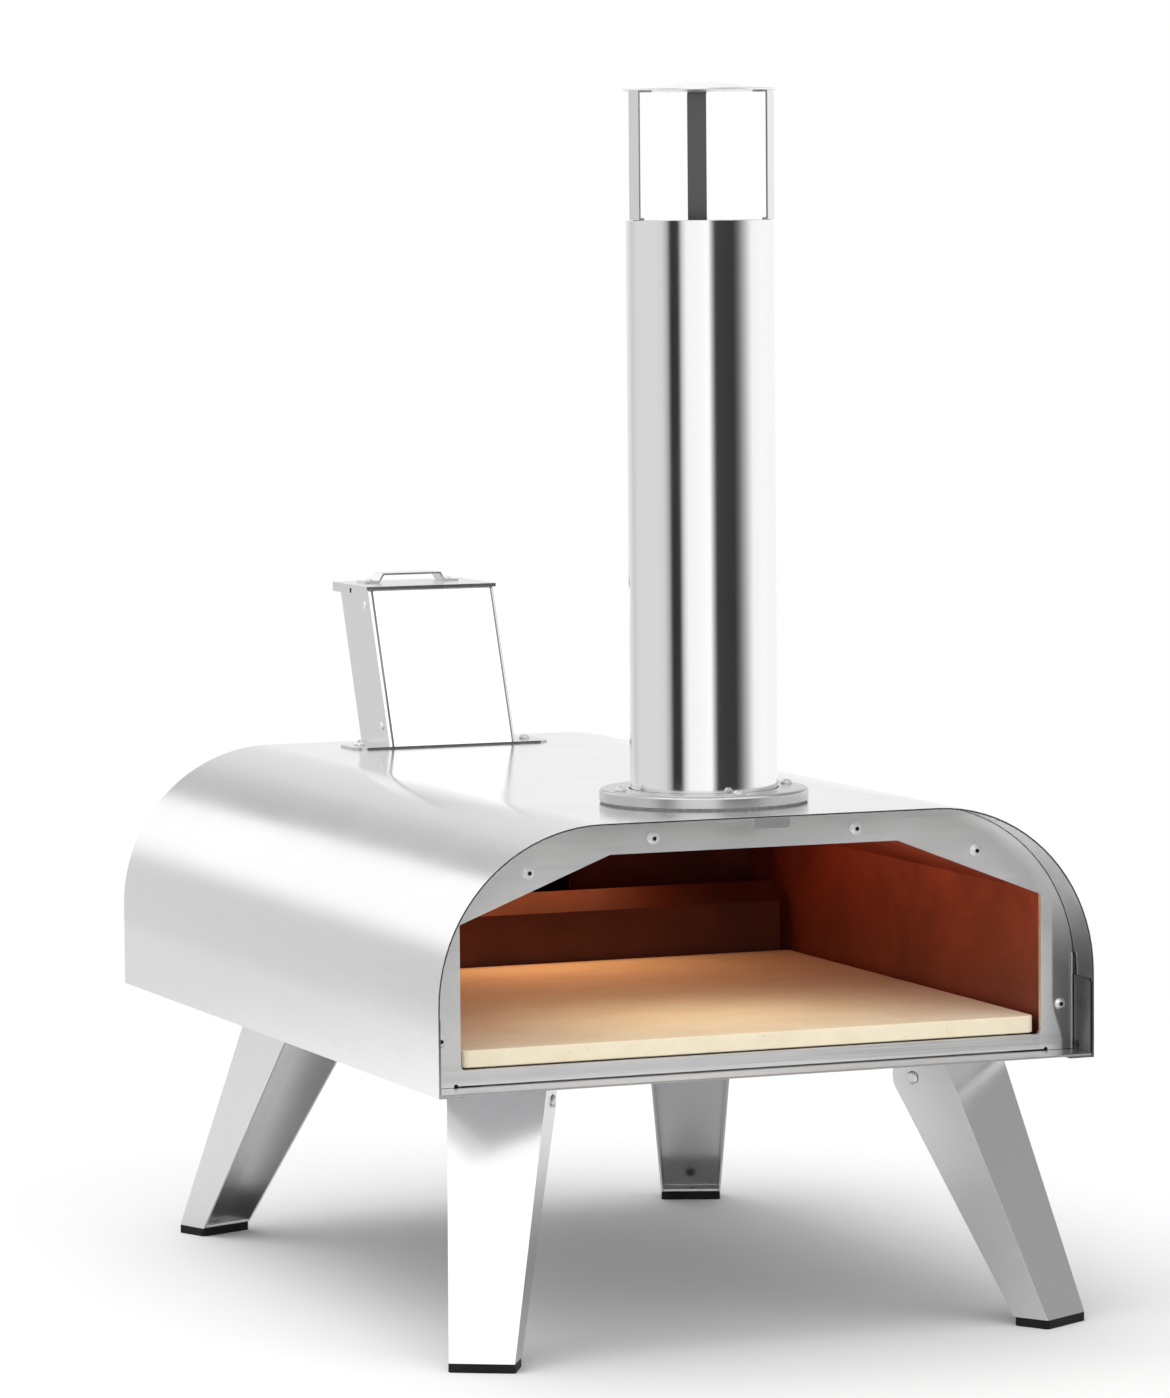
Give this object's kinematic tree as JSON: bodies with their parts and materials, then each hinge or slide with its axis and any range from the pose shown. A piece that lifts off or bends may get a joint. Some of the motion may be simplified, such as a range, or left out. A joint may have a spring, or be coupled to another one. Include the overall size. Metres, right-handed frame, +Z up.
{
  "type": "wood fired pizza oven",
  "caption": "Table-top wood fired pizza oven: arched double-skin steel body, wide mouth over a square stone, folding legs, lift-off chimney with rain cap, fuel hopper and drawer at the back.",
  "frame": {"origin": "on the ground, under the centre of the whole oven's bounding box", "axes": "+X to the right of a person facing the mouth, +Y from the mouth to the back, +Z up"},
  "size_m": [0.4, 0.6237, 0.71],
  "materials": {
    "satin_steel": "satin stainless steel with a fine brushed grain",
    "polished_steel": "polished stainless steel",
    "inner_sheet": "plain mill-finish steel sheet",
    "heated_steel": "steel sheet darkened by heat and soot",
    "screw_steel": "bright stainless fasteners",
    "baking_stone": "dry cream ceramic stone, fine grain",
    "rubber_pad": "matt black rubber",
    "gasket_felt": "dark heat-proof gasket",
    "ceramic_wool": "soft white ceramic wool"
  },
  "bodies": {
    "oven": {"outer_shell": "satin_steel", "front_panel": "satin_steel", "rear_panel": "satin_steel", "door_hook": "satin_steel", "front_panel_screws": "screw_steel", "rear_panel_screws": "screw_steel", "front_frame": "inner_sheet", "rear_frame": "inner_sheet", "base_pan": "inner_sheet", "base_insulation": "ceramic_wool", "inner_liner": "heated_steel", "roof_insulation": "ceramic_wool", "inner_back_wall": "heated_steel", "stone_rail_left": "heated_steel", "stone_rail_right": "heated_steel", "flame_deflector": "heated_steel", "burner_box": "heated_steel", "hopper_chute": "inner_sheet", "hopper_plate": "satin_steel", "hopper_plate_screws": "screw_steel", "hopper_body": "satin_steel", "hopper_rivets": "screw_steel", "chimney_gasket": "gasket_felt", "chimney_flange": "polished_steel", "chimney_flange_screws": "screw_steel", "bracket_rivets": "screw_steel", "bracket_front_left": "inner_sheet", "pin_front_left": "screw_steel", "bracket_front_right": "inner_sheet", "pin_front_right": "screw_steel", "bracket_rear_left": "inner_sheet", "pin_rear_left": "screw_steel", "bracket_rear_right": "inner_sheet", "pin_rear_right": "screw_steel"},
    "stone": {"pizza_stone": "baking_stone"},
    "fuel_drawer": {"fuel_tray": "heated_steel", "tray_door": "satin_steel", "tray_handle": "satin_steel", "tray_handle_screws": "screw_steel"},
    "lid": {"hopper_lid": "satin_steel", "lid_handle": "satin_steel", "lid_handle_rivets": "screw_steel"},
    "chimney": {"chimney_tube": "polished_steel"},
    "cap": {"rain_cap": "polished_steel", "cap_straps": "satin_steel"},
    "leg_front_left": {"leg_front_left": "satin_steel", "foot_front_left": "rubber_pad"},
    "leg_front_right": {"leg_front_right": "satin_steel", "foot_front_right": "rubber_pad"},
    "leg_rear_left": {"leg_rear_left": "satin_steel", "foot_rear_left": "rubber_pad"},
    "leg_rear_right": {"leg_rear_right": "satin_steel", "foot_rear_right": "rubber_pad"}
  },
  "joints": [
    {"name": "fold_front_left", "type": "hinge", "parent": "oven", "child": "leg_front_left", "pos_m": [-0.13592, -0.2253, 0.1389], "axis": [0.8704, -0.4924, 0], "range_deg": [0, 114]},
    {"name": "fold_front_right", "type": "hinge", "parent": "oven", "child": "leg_front_right", "pos_m": [0.13592, -0.2253, 0.1389], "axis": [0.8704, 0.4924, 0], "range_deg": [0, 114]},
    {"name": "fold_rear_left", "type": "hinge", "parent": "oven", "child": "leg_rear_left", "pos_m": [-0.12828, 0.13337, 0.1389], "axis": [-0.9239, -0.3827, 0], "range_deg": [0, 118.5]},
    {"name": "fold_rear_right", "type": "hinge", "parent": "oven", "child": "leg_rear_right", "pos_m": [0.12828, 0.13337, 0.1389], "axis": [-0.9239, 0.3827, 0], "range_deg": [0, 118.5]},
    {"name": "stone_slide", "type": "slide", "parent": "oven", "child": "stone", "axis": [0, -1, 0], "range_m": [0, 0.36]},
    {"name": "drawer_slide", "type": "slide", "parent": "oven", "child": "fuel_drawer", "axis": [0, 1, 0], "range_m": [0, 0.11]},
    {"name": "lid_lift", "type": "slide", "parent": "oven", "child": "lid", "axis": [0, 0, 1], "range_m": [0, 0.06]},
    {"name": "chimney_lift", "type": "slide", "parent": "oven", "child": "chimney", "axis": [0, 0, 1], "range_m": [0, 0.1]},
    {"name": "cap_lift", "type": "slide", "parent": "chimney", "child": "cap", "axis": [0, 0, 1], "range_m": [0, 0.06]}
  ]
}
